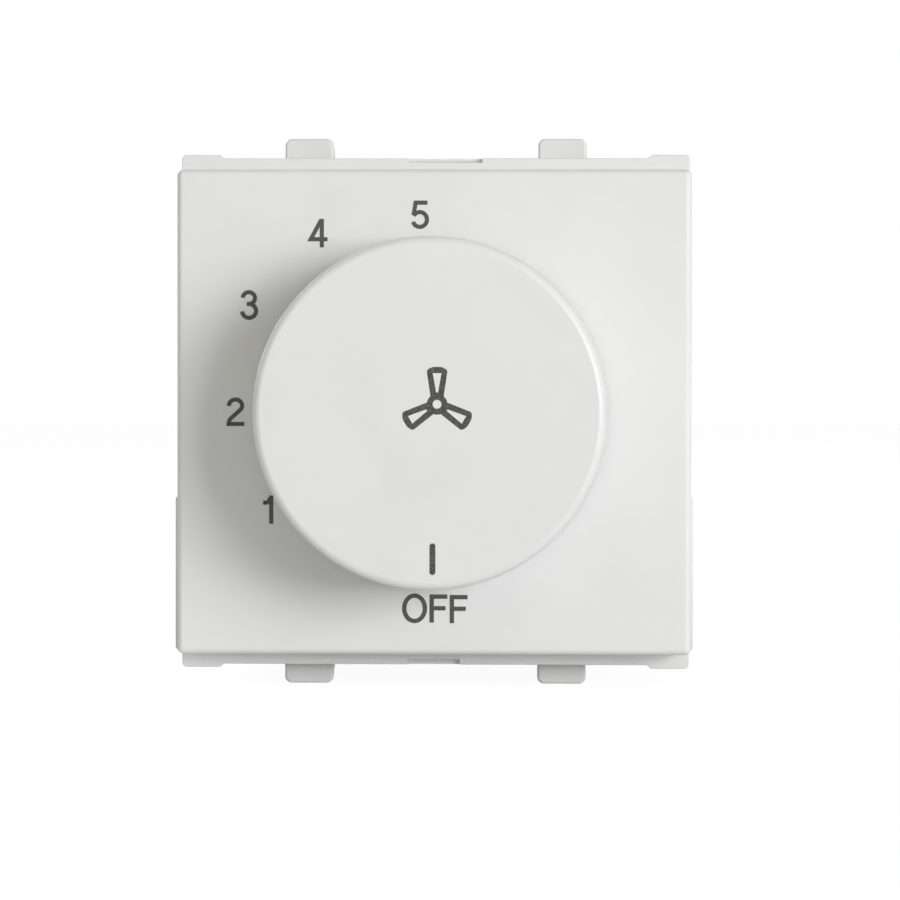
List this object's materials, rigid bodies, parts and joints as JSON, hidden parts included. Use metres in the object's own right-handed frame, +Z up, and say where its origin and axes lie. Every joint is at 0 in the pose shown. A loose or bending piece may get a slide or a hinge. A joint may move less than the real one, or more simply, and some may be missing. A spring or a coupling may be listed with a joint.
{
  "type": "fan speed control switch",
  "caption": "Modular rotary fan speed control switch: square white face with a numbered dial, round turning knob, snap-in flange and clamp screw terminals behind.",
  "frame": {"origin": "on the knob's axis, in the plane of the flange's rear face, which seats on the mounting frame", "axes": "+Y points to the rear along the knob's axis, so the front faces -Y; +X is to the right seen from the front; +Z is up"},
  "size_m": [0.0452, 0.0501, 0.0484],
  "materials": {
    "plate_plastic": "satin white moulded polycarbonate",
    "housing_plastic": "plain white moulded plastic",
    "knob_plastic": "satin white moulded plastic",
    "spring_steel": "bright spring steel",
    "spindle_metal": "turned",
    "rotor_plastic": "natural moulded acetal",
    "contact_brass": "stamped",
    "terminal_brass": "stamped and bent",
    "switch_plastic": "black moulded",
    "base_plastic": "brown moulded resin",
    "board_laminate": "plain laminate",
    "screw_steel": "zinc plated",
    "capacitor_case": "moulded case, yellow",
    "surge_resistor_coat": "grey coating",
    "bleed_resistor_coat": "tan coating"
  },
  "bodies": {
    "module": {"front_plate": "plate_plastic", "rear_housing": "housing_plastic", "thrust_washer": "spring_steel", "index_spring": "spring_steel", "switch_cover": "switch_plastic", "switch_base": "base_plastic", "switch_rivets": "contact_brass", "common_contact": "contact_brass", "fixed_contact_1": "contact_brass", "fixed_contact_2": "contact_brass", "fixed_contact_3": "contact_brass", "fixed_contact_4": "contact_brass", "fixed_contact_5": "contact_brass", "circuit_board": "board_laminate", "board_screws": "screw_steel", "capacitor_large": "capacitor_case", "capacitor_small": "capacitor_case", "surge_resistor_1": "surge_resistor_coat", "surge_resistor_2": "surge_resistor_coat", "bleed_resistor_1": "bleed_resistor_coat", "bleed_resistor_2": "bleed_resistor_coat", "terminal_tongue_line": "terminal_brass", "terminal_tongue_fan": "terminal_brass"},
    "dial": {"knob": "knob_plastic", "knob_spring": "spring_steel", "spindle": "spindle_metal", "retaining_ring": "spring_steel", "index_rotor": "rotor_plastic", "bridge_contact": "contact_brass"},
    "line_screw": {"terminal_screw_line": "screw_steel"},
    "line_cage": {"terminal_cage_line": "terminal_brass"},
    "fan_screw": {"terminal_screw_fan": "screw_steel"},
    "fan_cage": {"terminal_cage_fan": "terminal_brass"}
  },
  "joints": [
    {"name": "knob_turn", "type": "hinge", "parent": "module", "child": "dial", "pos_m": [0, 0, 0], "axis": [0, 1, 0], "range_deg": [0, 180], "deforming": ["index_spring"]},
    {"name": "line_screw_turn", "type": "hinge", "parent": "module", "child": "line_screw", "pos_m": [-0.011, 0.03, -0.0132], "axis": [0, -1, 0], "range_deg": [0, 1800.1]},
    {"name": "line_cage_lift", "type": "slide", "parent": "module", "child": "line_cage", "axis": [0, 1, 0], "range_m": [0, 0.003]},
    {"name": "fan_screw_turn", "type": "hinge", "parent": "module", "child": "fan_screw", "pos_m": [0.011, 0.03, -0.0132], "axis": [0, -1, 0], "range_deg": [0, 1800.1]},
    {"name": "fan_cage_lift", "type": "slide", "parent": "module", "child": "fan_cage", "axis": [0, 1, 0], "range_m": [0, 0.003]}
  ],
  "couplings": [
    {"joint": "line_screw_turn", "follows": "line_cage_lift", "rad_per_m": 10472},
    {"joint": "fan_screw_turn", "follows": "fan_cage_lift", "rad_per_m": 10472}
  ]
}
